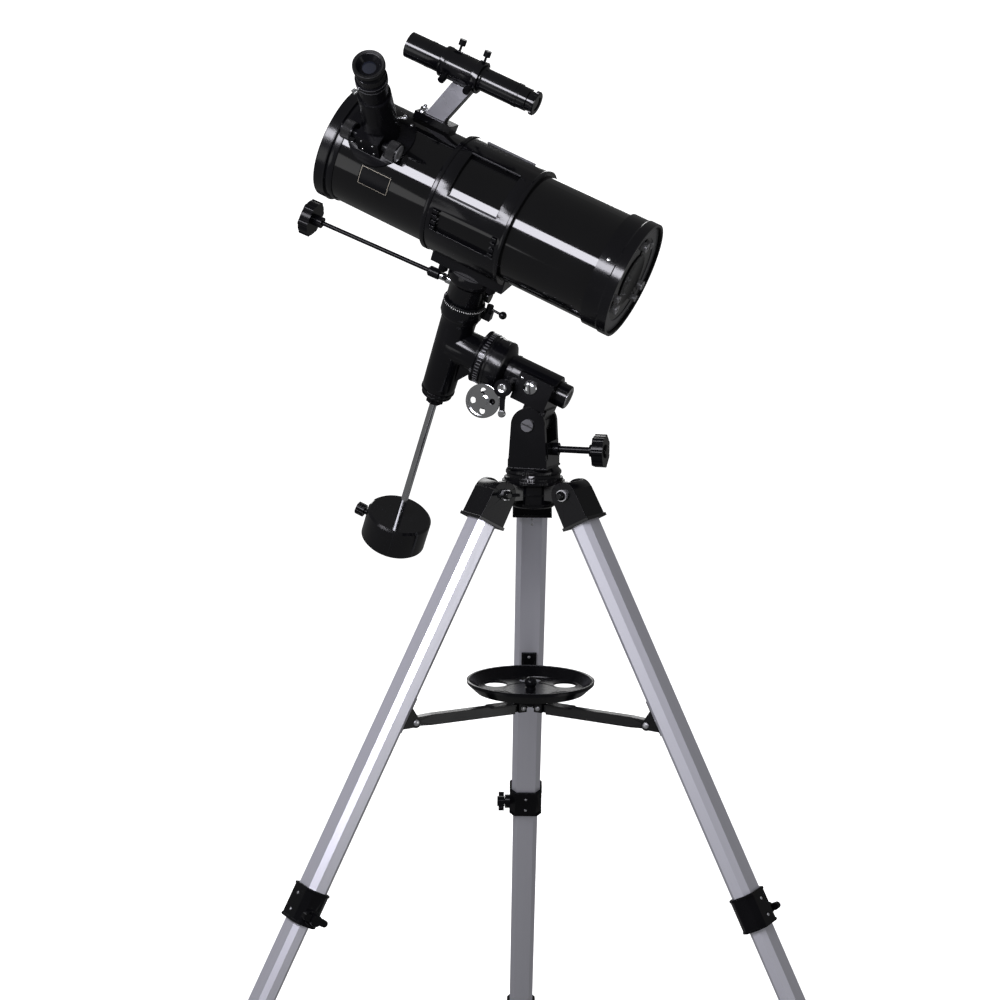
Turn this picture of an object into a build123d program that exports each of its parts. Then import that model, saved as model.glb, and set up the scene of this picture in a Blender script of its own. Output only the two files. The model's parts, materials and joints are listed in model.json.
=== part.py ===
from build123d import *
from math import cos, radians, sin
import os

# Reflecting telescope on an equatorial mount and a folding tripod.
# Millimetres, +Z up. The origin is on the floor, under the middle of the whole object's box.

# Tripod
LEG_SPLAY = 27.85            # degrees from vertical
LEG_LENGTH = 1066.0          # hinge to floor, along the leg
HINGE_RADIUS = 57.1          # tripod axis to leg hinge
TRIPOD_Y = -135.9            # tripod axis, so that the object's box is centred on the origin
LEG_AZIMUTHS = {"rear": 90, "left": 210, "right": 330}
UPPER_WIDTH = 41.4
UPPER_DEPTH = 28.0
LOWER_WIDTH = 36.2
LOWER_DEPTH = 22.8
UPPER_WALL = 1.6
LOWER_WALL = 1.4
LEG_CORNER = 7.0             # bevel of the leg's edges
CLAMP_STATION = 576.0        # middle of the clamp, along the leg
CLAMP_LENGTH = 46.0
LOWER_OVERLAP = 260.0        # length of lower leg held inside the upper one
FOOT_STATION = 1028.0
LEG_BOTTOM = 1050.0          # end of the lower tube, inside the foot
BRACKET_WIDTH = 49.0
TONGUE_WIDTH = 30.0
BOLT_RADIUS = 4.0

# Spreader and tray, heights below the leg hinges
SPREADER_DROP = 289.0        # level of all six arm pivots
SPREADER_INNER = 15.0        # tripod axis to inner pivot
SPREADER_ARM = 160.0         # inner to outer pivot
SPREADER_PIN = 2.5
TRAY_RADIUS = 84.0
TRAY_RIM_DROP = 254.3
TRAY_FLOOR_DROP = 268.5
TRAY_SEAT_DROP = 276.5
TRAY_HOLE_RADIUS = 15.5
TRAY_HOLE_CIRCLE = 53.0

# Equatorial mount
MOUNT_TURN = 16.5            # polar axis away from -X, in plan
LATITUDE = 23.1
ALTITUDE_HEIGHT = 87.1       # latitude bolt above the leg hinges
POLAR_OFFSET = 49.2          # latitude bolt to polar axis
DEC_STATION = 143.3          # along the polar axis, to the declination axis
HOUR_ANGLE = -20.6           # declination axis away from the mount's upright plane
DEC_TURN = -1.44             # tube away from the polar axis
CHEEK_IN = 24.0
CHEEK_OUT = 32.0
AZIMUTH_AXLE = 10.0
POLAR_AXLE = 9.0
DEC_AXLE = 10.0
DEC_COLLAR_TOP = 66.0
DEC_LOCK_X = -31.5
DEC_LOCK_Y = -13.0
HEAD_TOP = 109.7
SHAFT_RADIUS = 5.0
SHAFT_END = -344.0           # where the stop screws into the counterweight's bar
STOP_RADIUS = 9.0
WEIGHT_RADIUS = 44.7
WEIGHT_TOP = -288.5
WEIGHT_BOTTOM = -334.0
WORM_Y = -14.0
WORM_Z = 76.0
WORM_SLOPE = -0.034

# Optical tube
TUBE_STATION = 197.4         # along the declination axis, to the tube's centreline
TUBE_RADIUS = 71.0
TUBE_WALL = 1.5
TUBE_FRONT = 205.0
TUBE_REAR = -190.0
RIM_FRONT = 216.3
RIM_REAR = -202.8
CRADLE_REAR = -51.0
CRADLE_FRONT = 60.0
CRADLE_RADIUS = 76.0
FOCUSER_STATION = 152.5
FOCUSER_ANGLE = -37.3
EYECUP_TOP = 226.0           # above the tube's centreline
DRAW_RADIUS = 18.0
PINION_Y = 22.0
PINION_Z = 84.0
FINDER_ANGLE = 12.0
FINDER_OFFSET = 148.0
FINDER_SCREW_STATIONS = (111.5, 76.5)
FINDER_SKIN = 16.55          # radius that the finder screws' tips touch

FIT = 0.05                   # radial clearance of a turning or sliding fit
GAP = 0.3                    # clearance between neighbouring bodies
BASE = (Align.CENTER, Align.CENTER, Align.MIN)

HUB_HEIGHT = LEG_LENGTH * cos(radians(LEG_SPLAY))


def place(plane, origin, z_dir=(0, 0, 1), x_dir=(1, 0, 0)):
    """A plane whose origin and directions are given in another plane's own axes."""
    start = plane.from_local_coords(Vector(*origin))
    z_tip = plane.from_local_coords(Vector(*origin) + Vector(*z_dir))
    x_tip = plane.from_local_coords(Vector(*origin) + Vector(*x_dir))
    return Plane(start, x_dir=x_tip - start, z_dir=z_tip - start)


def spin(plane, outline, mode=Mode.ADD):
    """Turn an outline of (radius, height) points about a plane's z axis."""
    half_plane = Plane(plane.origin, x_dir=plane.x_dir, z_dir=-plane.y_dir)
    with BuildSketch(half_plane) as half:
        Polygon(*outline, align=None)
    revolve(half.sketch, axis=Axis(plane.origin, plane.z_dir), mode=mode)


def rod(plane, radius, start, end, mode=Mode.ADD):
    """A round bar along a plane's z axis."""
    with Locations(plane.offset(start)):
        Cylinder(radius, end - start, align=BASE, mode=mode)


def block(plane, low, high, mode=Mode.ADD):
    """A block between two opposite corners in a plane's own axes."""
    middle = [(a + b) / 2 for a, b in zip(low, high)]
    size = [b - a for a, b in zip(low, high)]
    with Locations(place(plane, middle)):
        Box(*size, mode=mode)


def star_knob(plane, radius, start, end, lobes):
    """A hand knob with round lobes about a plane's z axis."""
    with BuildSketch(plane.offset(start)) as outline:
        Circle(radius * 0.92)
        with PolarLocations(radius * 0.78, lobes):
            Circle(radius * 0.22)
    extrude(outline.sketch, amount=end - start)


def save(builder, name):
    """Label the finished piece and write its file."""
    builder.part.label = name
    export_step(builder.part, f"parts/{name}.step")


def turn(degrees):
    """Cosine and sine of an angle."""
    return cos(radians(degrees)), sin(radians(degrees))


# The planes that the object is built on
HUB = Plane((0, TRIPOD_Y, HUB_HEIGHT))
NORTH_X, NORTH_Y = turn(MOUNT_TURN)
POLE_X, POLE_Z = turn(LATITUDE)
HOUR_X, HOUR_Y = turn(HOUR_ANGLE)
DEC_X, DEC_Y = turn(DEC_TURN)
FOCUS_X, FOCUS_Y = turn(FOCUSER_ANGLE)
FINDER_X, FINDER_Y = turn(FINDER_ANGLE)

# x to the pole, y to the near side, z up, origin on the tripod axis level with the leg hinges
AZIMUTH = Plane(HUB.origin, x_dir=(-NORTH_X, NORTH_Y, 0), z_dir=(0, 0, 1))
# x square to the polar axis and up, y to the far side, z along the polar axis
POLAR = place(
    AZIMUTH,
    (-POLAR_OFFSET * POLE_Z, 0, ALTITUDE_HEIGHT + POLAR_OFFSET * POLE_X),
    z_dir=(POLE_X, 0, POLE_Z),
    x_dir=(-POLE_Z, 0, POLE_X),
)
# x along the polar axis, y to the near side, z along the declination axis to the tube
DEC = place(POLAR, (0, 0, DEC_STATION), z_dir=(HOUR_X, HOUR_Y, 0), x_dir=(0, 0, 1))
# x away from the mount, y to the far side, z along the tube to its open end
TUBE = place(DEC, (0, 0, TUBE_STATION), z_dir=(DEC_X, DEC_Y, 0), x_dir=(0, 0, 1))
# x along the tube, y round the tube to the near side, z outwards through the eyepiece
FOCUSER = place(TUBE, (0, 0, FOCUSER_STATION), z_dir=(FOCUS_X, FOCUS_Y, 0), x_dir=(0, 0, 1))
# x outwards from the tube, z along the finder
FINDER = place(
    TUBE,
    (FINDER_OFFSET * FINDER_X, FINDER_OFFSET * FINDER_Y, 0),
    x_dir=(FINDER_X, FINDER_Y, 0),
)


def hinge_plane(azimuth):
    """x outwards, y up, z along the leg's hinge bolt."""
    out_x, out_y = turn(azimuth)
    pivot = HUB.origin + Vector(HINGE_RADIUS * out_x, HINGE_RADIUS * out_y, 0)
    return Plane(pivot, x_dir=(out_x, out_y, 0), z_dir=(out_y, -out_x, 0))


def leg_plane(azimuth):
    """x outwards from the leg, y along the hinge bolt, z down the leg."""
    splay_x, splay_z = turn(LEG_SPLAY)
    return place(hinge_plane(azimuth), (0, 0, 0), (splay_z, -splay_x, 0), (splay_x, splay_z, 0))


def spreader_plane(azimuth):
    """x outwards along the arm, y up, z along the arm's inner pivot."""
    drop = (SPREADER_INNER - HINGE_RADIUS, -SPREADER_DROP, 0)
    return place(hinge_plane(azimuth), drop)


# Tripod head and legs

def tripod_hub():
    with BuildPart() as hub:
        spin(HUB, [
            (AZIMUTH_AXLE, -22), (26, -22), (28.5, -20), (28.5, 6), (40.5, 10), (40.5, 14),
            (38, 14), (38, 18), (35, 18), (35, 22), (AZIMUTH_AXLE, 22),
        ])
        for azimuth in LEG_AZIMUTHS.values():
            hinge = hinge_plane(azimuth)
            with BuildSketch(hinge.offset(-TONGUE_WIDTH / 2)):
                Circle(11)
                Polygon((-36, -11), (0, -11), (0, 11), (-36, 11), align=None)
            extrude(amount=TONGUE_WIDTH)
            rod(hinge, BOLT_RADIUS + FIT, -TONGUE_WIDTH, TONGUE_WIDTH, Mode.SUBTRACT)
        rod(HUB, AZIMUTH_AXLE, -30, 30, Mode.SUBTRACT)
    save(hub, "tripod_hub")


def leg_hinge_bolts():
    face = BRACKET_WIDTH / 2 + GAP
    with BuildPart() as bolts:
        for azimuth in LEG_AZIMUTHS.values():
            hinge = hinge_plane(azimuth)
            rod(hinge, BOLT_RADIUS, -face - 6, face)
            rod(hinge, 7.5, face, face + 4.5)
            with BuildSketch(hinge.offset(-face - 5)):
                RegularPolygon(7.5, 6)
            extrude(amount=5)
    save(bolts, "leg_hinge_bolts")


def leg_section(width, depth, mode=Mode.ADD):
    """Bevelled box section, its depth along x and its width along y."""
    x, y = depth / 2, width / 2
    bevel = LEG_CORNER * width / UPPER_WIDTH
    corners = [(x, y - bevel), (x - bevel, y), (bevel - x, y), (-x, y - bevel)]
    mirrored = [(px, -py) for px, py in reversed(corners)]
    Polygon(*corners, *mirrored, align=None, mode=mode)


def leg_bracket(side, leg):
    half = BRACKET_WIDTH / 2
    with BuildPart() as bracket:
        with BuildSketch(place(leg, (0, -half, 0), (0, 1, 0), (0, 0, 1))):
            Circle(17)
            Polygon((0, -17.5), (40, -18.5), (40, 18.5), (0, 17.5), align=None)
        extrude(amount=BRACKET_WIDTH)
        block(leg, (-20, -half - 1, 38.5), (20, half + 1, 42))
        slot = TONGUE_WIDTH / 2 + GAP
        block(leg, (-30, -slot, -25), (12, slot, 12.5), Mode.SUBTRACT)
        with BuildSketch(leg.offset(16)):
            leg_section(UPPER_WIDTH + 2 * FIT, UPPER_DEPTH + 2 * FIT)
        extrude(amount=40, mode=Mode.SUBTRACT)
        rod(place(leg, (0, 0, 0), (0, 1, 0)), BOLT_RADIUS + FIT, -40, 40, Mode.SUBTRACT)
    save(bracket, f"leg_bracket_{side}")


def leg_tube(name, leg, start, end, width, depth, wall):
    with BuildPart() as tube:
        with BuildSketch(leg.offset(start)):
            leg_section(width, depth)
            leg_section(width - 2 * wall, depth - 2 * wall, Mode.SUBTRACT)
        extrude(amount=end - start)
    save(tube, name)


def leg_clamp(side, leg):
    start = CLAMP_STATION - CLAMP_LENGTH / 2
    step = CLAMP_STATION
    with BuildPart() as clamp:
        with BuildSketch(leg.offset(start)):
            leg_section(UPPER_WIDTH + 5.5, UPPER_DEPTH + 6.5)
        extrude(amount=CLAMP_LENGTH)
        screw = place(leg, (0, 0, step + 9), (0, -1, 0))
        rod(screw, 10, UPPER_WIDTH / 2, UPPER_WIDTH / 2 + 10)
        with BuildSketch(leg.offset(start - 1)):
            leg_section(UPPER_WIDTH + 2 * FIT, UPPER_DEPTH + 2 * FIT)
        extrude(amount=step - start + 1, mode=Mode.SUBTRACT)
        with BuildSketch(leg.offset(step - 1)):
            leg_section(LOWER_WIDTH + 2 * GAP, LOWER_DEPTH + 2 * GAP)
        extrude(amount=CLAMP_LENGTH, mode=Mode.SUBTRACT)
        rod(screw, BOLT_RADIUS + FIT, 5, 50, Mode.SUBTRACT)
    save(clamp, f"leg_clamp_{side}")


def leg_lock_screw(side, leg):
    screw = place(leg, (0, 0, CLAMP_STATION + 9), (0, -1, 0))
    tip = LOWER_WIDTH / 2 + GAP
    hub_start = UPPER_WIDTH / 2 + 10 + GAP
    with BuildPart() as lock:
        rod(screw, BOLT_RADIUS, tip, hub_start + 2)
        rod(screw, 7.5, hub_start, hub_start + 11)
        with BuildSketch(screw.offset(hub_start + 1)):
            SlotOverall(36, 9)
        extrude(amount=8)
    save(lock, f"leg_lock_screw_{side}")


def leg_foot(side, leg):
    with BuildPart() as foot:
        with BuildSketch(leg.offset(FOOT_STATION)):
            leg_section(LOWER_WIDTH + 9, LOWER_DEPTH + 11)
        extrude(amount=LEG_LENGTH - FOOT_STATION + 30)
        with BuildSketch(leg.offset(FOOT_STATION - 1)):
            leg_section(LOWER_WIDTH + 2 * FIT, LOWER_DEPTH + 2 * FIT)
        extrude(amount=LEG_BOTTOM - FOOT_STATION + 1 + FIT, mode=Mode.SUBTRACT)
        split(bisect_by=Plane.XY, keep=Keep.TOP)
    save(foot, f"leg_foot_{side}")


def outer_pivot(leg):
    """Where the arm meets the leg, in the leg's own x and z."""
    reach = SPREADER_INNER + SPREADER_ARM - HINGE_RADIUS
    splay_x, splay_z = turn(LEG_SPLAY)
    return (
        reach * splay_x - SPREADER_DROP * splay_z,
        reach * splay_z + SPREADER_DROP * splay_x,
    )


def spreader_bracket(side, leg):
    pivot_x, pivot_z = outer_pivot(leg)
    face = -UPPER_DEPTH / 2
    with BuildPart() as bracket:
        block(leg, (face - 3, -10.5, pivot_z - 28), (face - FIT, 10.5, pivot_z + 20))
        for ear in (-10.2, 7.2):
            with BuildSketch(place(leg, (pivot_x, ear, pivot_z), (0, 1, 0), (0, 0, 1))):
                Circle(7)
                Polygon((-7, 0), (7, 0), (16, -pivot_x + face - 1), (-16, -pivot_x + face - 1), align=None)
            extrude(amount=3)
        pin = place(leg, (pivot_x, 0, pivot_z), (0, 1, 0))
        rod(pin, SPREADER_PIN + 2 * FIT, -20, 20, Mode.SUBTRACT)
    save(bracket, f"spreader_bracket_{side}")


def spreader_arm(side, azimuth):
    pivot = spreader_plane(azimuth)
    with BuildPart() as arm:
        with BuildSketch(pivot.offset(-3)):
            Circle(5.5)
            Polygon((0, -5.5), (20, -5.5), (20, 5.5), (0, 5.5), align=None)
        extrude(amount=6)
        with BuildSketch(pivot.offset(-6)):
            Polygon((11, -7), (SPREADER_ARM - 25, -7), (SPREADER_ARM, -5.5),
                    (SPREADER_ARM, 5.5), (SPREADER_ARM - 25, 7), (11, 7), align=None)
            with Locations((SPREADER_ARM, 0)):
                Circle(5.5)
        extrude(amount=12)
        block(pivot, (11, 5, -10), (48, 7, 10))
        block(pivot, (17, -10, -4), (SPREADER_ARM - 6, 4.5, 4), Mode.SUBTRACT)
        rod(pivot, SPREADER_PIN + FIT, -10, 10, Mode.SUBTRACT)
        outer = place(pivot, (SPREADER_ARM, 0, 0))
        rod(outer, SPREADER_PIN + 2 * FIT, -10, 10, Mode.SUBTRACT)
    save(arm, f"spreader_arm_{side}")


def spreader_hub():
    level = -SPREADER_DROP
    with BuildPart() as hub:
        spin(HUB, [(0, level + 6.5), (22, level + 6.5), (22, level + 12), (0, level + 12)])
        for azimuth in LEG_AZIMUTHS.values():
            pivot = spreader_plane(azimuth)
            for lug in (-7.3, 3.3):
                block(pivot, (-5.5, -5.5, lug), (6, 7, lug + 4))
            rod(pivot, SPREADER_PIN, -7.3, 7.3)
        rod(HUB, BOLT_RADIUS + FIT, level - 20, level + 20, Mode.SUBTRACT)
    save(hub, "spreader_hub")


def accessory_tray():
    low = -TRAY_FLOOR_DROP
    rim = -TRAY_RIM_DROP
    with BuildPart() as tray:
        spin(HUB, [
            (BOLT_RADIUS + FIT, -TRAY_SEAT_DROP), (20, -TRAY_SEAT_DROP), (22, low), (72, low),
            (84, rim - 3), (84, rim), (81, rim), (70, low + 2.5), (BOLT_RADIUS + FIT, low + 2.5),
        ])
        with Locations(HUB.offset(low)):
            with PolarLocations(TRAY_HOLE_CIRCLE, 6, start_angle=30):
                Hole(TRAY_HOLE_RADIUS, 20)
    save(tray, "accessory_tray")


def tray_knob():
    low = -TRAY_FLOOR_DROP
    with BuildPart() as knob:
        rod(HUB, BOLT_RADIUS, -TRAY_SEAT_DROP - 9, low + 6)
        spin(HUB, [(0, low + 2.8), (7, low + 2.8), (7, low + 4.5), (4.5, low + 6), (0, low + 6)])
        with Locations(HUB.offset(low + 11)):
            Sphere(8)
    save(knob, "tray_knob")


# Equatorial mount

def azimuth_fork():
    with BuildPart() as fork:
        spin(AZIMUTH, [(0, 22.3), (36, 22.3), (36, 26.5), (32, 31), (0, 31)])
        rod(AZIMUTH, AZIMUTH_AXLE - FIT, -18, 23)
        block(AZIMUTH, (-26, -CHEEK_OUT, 29), (26, CHEEK_OUT, 43))
        for start in (-CHEEK_OUT, CHEEK_IN):
            cheek = place(AZIMUTH, (0, start, ALTITUDE_HEIGHT), (0, 1, 0), (-1, 0, 0))
            with BuildSketch(cheek):
                Circle(22.5)
                Polygon((-26, 30 - ALTITUDE_HEIGHT), (26, 30 - ALTITUDE_HEIGHT),
                        (22.5, 0), (-22.5, 0), align=None)
            extrude(amount=CHEEK_OUT - CHEEK_IN)
        block(AZIMUTH, (-26, -CHEEK_IN - 1, 42), (-18, CHEEK_IN + 1, 65))
        bolt = place(AZIMUTH, (0, 0, ALTITUDE_HEIGHT), (0, 1, 0))
        rod(bolt, 6 + FIT, -40, 40, Mode.SUBTRACT)
        screw = place(AZIMUTH, (0, 0, 54.5), (-1, 0, 0), (0, 1, 0))
        rod(screw, 4.5 + FIT, 10, 40, Mode.SUBTRACT)
    save(fork, "azimuth_fork")


def latitude_bolt():
    bolt = place(AZIMUTH, (0, 0, ALTITUDE_HEIGHT), (0, 1, 0))
    face = CHEEK_OUT
    with BuildPart() as part:
        rod(bolt, 6, -face - 6, face + 1)
        rod(bolt, 8, face + FIT, face + 4)
        block(bolt, (-9, -0.9, face + 2.8), (9, 0.9, face + 5), Mode.SUBTRACT)
        with BuildSketch(bolt.offset(-face - 6)):
            RegularPolygon(10, 6)
        extrude(amount=6 - FIT)
    save(part, "latitude_bolt")


def latitude_screw():
    screw = place(AZIMUTH, (0, 0, 54.5), (-1, 0, 0), (0, 1, 0))
    with BuildPart() as part:
        rod(screw, 4.5, 14, 78)
        rod(screw, 8.4, 26.3, 34)
        rod(screw, 8, 75, 82)
        star_knob(screw, 22, 81, 96, 7)
    save(part, "latitude_screw")


def ra_housing():
    pivot = place(POLAR, (-POLAR_OFFSET, 0, 0), (0, 1, 0), (0, 0, 1))
    worm = place(POLAR, (-44, 0, 65), (0, -1, 0))
    with BuildPart() as housing:
        spin(POLAR, [
            (0, -12), (21, -12), (22, -11), (22, 57), (32, 62), (34, 64), (34, 85.5), (0, 85.5),
        ])
        block(POLAR, (-26, -33, -12), (11, 33, 36))
        with BuildSketch(pivot.offset(-CHEEK_IN + GAP + 0.2)):
            Circle(18)
            Polygon((-14, 0), (-14, 26), (17, 26), (17, 0), align=None)
        extrude(amount=2 * (CHEEK_IN - GAP - 0.2))
        rod(worm, 12, -24, 33)
        rod(place(POLAR, (-15.4, 0, 45), (0, -1, 0)), 8, 0, 42)
        heel = place(AZIMUTH, (0, 0, ALTITUDE_HEIGHT))
        block(heel, (-13.7, -8, -38), (-2, 8, -10))
        rod(POLAR, POLAR_AXLE + FIT, -20, 90, Mode.SUBTRACT)
        rod(pivot, 6 + FIT, -40, 40, Mode.SUBTRACT)
        rod(worm, 4 + FIT, -20, 40, Mode.SUBTRACT)
        rod(place(POLAR, (-15.4, 0, 45), (0, -1, 0)), 3 + FIT, 25, 50, Mode.SUBTRACT)
    save(housing, "ra_housing")


def polar_cap():
    with BuildPart() as cap:
        spin(POLAR, [(0, -28.2), (15, -28.2), (16, -27.2), (16, -12.2), (0, -12.2)])
    save(cap, "polar_cap")


def ra_slow_wheel():
    worm = place(POLAR, (-44, 0, 65), (0, -1, 0))
    with BuildPart() as wheel:
        rod(worm, 4, -19, 40)
        spin(worm, [(0, 33.4), (7, 33.4), (7, 38.5), (19, 38.5), (19, 36), (22, 36), (22, 44),
                    (19, 44), (19, 41.5), (7, 41.5), (7, 46), (0, 46)])
        with Locations(worm.offset(45)):
            with PolarLocations(13, 4, start_angle=20):
                Hole(4, 12)
    save(wheel, "ra_slow_wheel")


def ra_lock_lever():
    boss = place(POLAR, (-15.4, 0, 45), (0, -1, 0), (-1, 0, -0.38))
    with BuildPart() as lever:
        rod(boss, 3, 26, 47)
        spin(boss, [(0, 42.3), (9, 42.3), (11.5, 46.5), (11.5, 53), (10, 54), (0, 54)])
        block(boss, (4, -3, 47), (36, 3, 51.5))
    save(lever, "ra_lock_lever")


def ra_dial():
    with BuildPart() as dial:
        spin(POLAR, [(POLAR_AXLE + FIT, 85.8), (34, 85.8), (35.1, 87), (35.1, 96), (34, 97.2),
                     (POLAR_AXLE + FIT, 97.2)])
    save(dial, "ra_dial")


def dec_housing():
    with BuildPart() as housing:
        spin(DEC, [
            (0, -83), (19, -83), (20, -82), (20, -76), (22, -73), (23.5, 38), (27.5, 46),
            (27.5, DEC_COLLAR_TOP - 1), (26.5, DEC_COLLAR_TOP), (0, DEC_COLLAR_TOP),
        ])
        rod(POLAR, 24, 97.5, DEC_STATION)
        with BuildSketch(place(DEC, (0, -7, 0), (0, 1, 0), (0, 0, 1))):
            Polygon((-66, -10), (-20, -44), (-15, 0), (-30, 0), align=None)
        extrude(amount=14)
        rod(POLAR, POLAR_AXLE, -10, 100)
        block(DEC, (DEC_LOCK_X - 5.5, DEC_LOCK_Y - 5.5, 46), (-12, DEC_LOCK_Y + 5.5, 57))
        rod(place(DEC, (DEC_LOCK_X, DEC_LOCK_Y, 0)), 2, 50, 67.5)
        rod(DEC, DEC_AXLE + FIT, -90, 80, Mode.SUBTRACT)
    save(housing, "dec_housing")


def dec_lock_lever():
    pin = place(DEC, (DEC_LOCK_X, DEC_LOCK_Y, 0))
    stem = place(DEC, (DEC_LOCK_X, DEC_LOCK_Y, 62), (-1, 0.1, 0), (0, 0, 1))
    with BuildPart() as lever:
        spin(pin, [(2 + FIT, 57.3), (4.5, 57.3), (4.5, 66.5), (2 + FIT, 66.5)])
        rod(stem, 1.8, 3.5, 18)
        with Locations(stem.offset(20)):
            Sphere(5.3)
    save(lever, "dec_lock_lever")


def dec_head():
    worm = place(DEC, (0, WORM_Y, WORM_Z), (1, 0, WORM_SLOPE), (0, 1, 0))
    with BuildPart() as head:
        spin(DEC, [(0, -82), (DEC_AXLE, -82), (DEC_AXLE, 66.3), (25, 66.3), (25, 90),
                   (31, 98), (31, HEAD_TOP), (0, HEAD_TOP)])
        rod(worm, 8.5, -28, 28)
        rod(DEC, SHAFT_RADIUS + FIT, -90, -50, Mode.SUBTRACT)
        rod(worm, 4 + FIT, 5, 40, Mode.SUBTRACT)
    save(head, "dec_head")


def dec_slow_handle():
    worm = place(DEC, (0, WORM_Y, WORM_Z), (1, 0, WORM_SLOPE), (0, 1, 0))
    with BuildPart() as handle:
        rod(worm, 4, 8, 46)
        spin(worm, [(0, 45), (5, 45), (7, 47), (7, 61), (5, 63), (0, 63)])
        rod(worm, 3, 60, 236)
        rod(worm, 7.5, 221, 233)
        star_knob(worm, 24, 232, 246, 6)
    save(handle, "dec_slow_handle")


def counterweight_shaft():
    stud = 2.0
    with BuildPart() as shaft:
        spin(DEC, [(0, -338), (stud + FIT, -338), (stud + FIT, SHAFT_END + FIT),
                   (SHAFT_RADIUS, SHAFT_END + FIT), (SHAFT_RADIUS, -52), (0, -52)])
        spin(DEC, [(0, SHAFT_END - 6), (STOP_RADIUS, SHAFT_END - 6), (STOP_RADIUS, SHAFT_END),
                   (stud, SHAFT_END), (stud, -339), (0, -339)])
    save(shaft, "counterweight_shaft")


def shaft_nut():
    with BuildPart() as nut:
        with BuildSketch(DEC.offset(-95)):
            Circle(11)
            with PolarLocations(10, 8):
                Circle(2)
            Circle(SHAFT_RADIUS + FIT, mode=Mode.SUBTRACT)
        extrude(amount=95 - 83 - GAP)
    save(nut, "shaft_nut")


def counterweight():
    with BuildPart() as weight:
        spin(DEC, [
            (SHAFT_RADIUS + FIT, WEIGHT_BOTTOM), (WEIGHT_RADIUS - 3, WEIGHT_BOTTOM),
            (WEIGHT_RADIUS, WEIGHT_BOTTOM + 3), (WEIGHT_RADIUS, WEIGHT_TOP - 3),
            (WEIGHT_RADIUS - 3, WEIGHT_TOP), (SHAFT_RADIUS + FIT, WEIGHT_TOP),
        ])
        screw = place(DEC, (0, 0, (WEIGHT_TOP + WEIGHT_BOTTOM) / 2), (1, 0, 0), (0, 1, 0))
        rod(screw, BOLT_RADIUS + FIT, 0, 60, Mode.SUBTRACT)
        rod(DEC, SHAFT_RADIUS + FIT, WEIGHT_BOTTOM - 5, WEIGHT_TOP + 5, Mode.SUBTRACT)
    save(weight, "counterweight")


def counterweight_screw():
    screw = place(DEC, (0, 0, (WEIGHT_TOP + WEIGHT_BOTTOM) / 2), (1, 0, 0), (0, 1, 0))
    with BuildPart() as part:
        rod(screw, BOLT_RADIUS, SHAFT_RADIUS + GAP, 52)
        star_knob(screw, 9, 50, 62, 6)
    save(part, "counterweight_screw")


# Optical tube

def tube_cradle():
    with BuildPart() as cradle:
        rod(TUBE, CRADLE_RADIUS, CRADLE_REAR, CRADLE_FRONT)
        low = HEAD_TOP + GAP - TUBE_STATION
        block(TUBE, (low, -24, -52), (-TUBE_RADIUS + 6, 24, 52))
        rod(TUBE, TUBE_RADIUS + FIT, -80, 80, Mode.SUBTRACT)
        for angle, half, rear, front in ((41, 32, -30, 38), (93, 15, -42, 48)):
            for side in (-angle, angle):
                out_x, out_y = turn(side)
                window = place(TUBE, (0, 0, 0), (out_x, out_y, 0), (0, 0, 1))
                block(window, (rear, -half, 50), (front, half, 90), Mode.SUBTRACT)
    save(cradle, "tube_cradle")


def main_tube():
    with BuildPart() as tube:
        inner = TUBE_RADIUS - TUBE_WALL
        spin(TUBE, [(inner, TUBE_REAR), (TUBE_RADIUS, TUBE_REAR), (TUBE_RADIUS, TUBE_FRONT),
                    (inner, TUBE_FRONT)])
        rod(FOCUSER, 24, 40, 90, Mode.SUBTRACT)
    save(tube, "main_tube")


def front_ring():
    seat = TUBE_RADIUS + FIT
    with BuildPart() as ring:
        spin(TUBE, [(seat, TUBE_FRONT - 2), (74.9, TUBE_FRONT - 2), (74.9, RIM_FRONT - 1.5),
                    (73.4, RIM_FRONT), (68, RIM_FRONT), (68, TUBE_FRONT + FIT),
                    (seat, TUBE_FRONT + FIT)])
    save(ring, "front_ring")


def mirror_cell():
    seat = TUBE_RADIUS + FIT
    with BuildPart() as cell:
        spin(TUBE, [(seat, -168), (74.2, -168), (74.2, -189), (75.4, -190.5), (75.4, RIM_REAR),
                    (72, RIM_REAR), (72, -198), (0, -198), (0, -188), (50, -188), (50, -190.1),
                    (seat, -190.1)])
    save(cell, "mirror_cell")


def primary_mirror():
    with BuildPart() as mirror:
        spin(TUBE, [(0, -187.9), (57, -187.9), (57, -176.8), (56, -175.8), (28, -177),
                    (0, -177.5)])
    save(mirror, "primary_mirror")


def collimation_screws():
    with BuildPart() as screws:
        for start in (0, 22):
            with Locations(TUBE.offset(-198.1)):
                with PolarLocations(48, 3, start_angle=start):
                    Cylinder(4.5 if start else 6, 7, align=(Align.CENTER, Align.CENTER, Align.MAX))
    save(screws, "collimation_screws")


def spider():
    with BuildPart() as vanes:
        rod(TUBE, 14, 170, 192)
        for angle in (60, 180, 300):
            out_x, out_y = turn(angle)
            vane = place(TUBE, (0, 0, 0), (out_x, out_y, 0), (0, 0, 1))
            block(vane, (177, -0.7, 10), (190, 0.7, TUBE_RADIUS - TUBE_WALL - FIT))
    save(vanes, "spider")


def secondary_mirror():
    cut = place(TUBE, (0, 0, FOCUSER_STATION), (FOCUS_X, FOCUS_Y, -1), (-FOCUS_Y, FOCUS_X, 0))
    with BuildPart() as mirror:
        rod(TUBE, 17, 125, 169.9)
        split(bisect_by=cut, keep=Keep.BOTTOM)
    save(mirror, "secondary_mirror")


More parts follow.
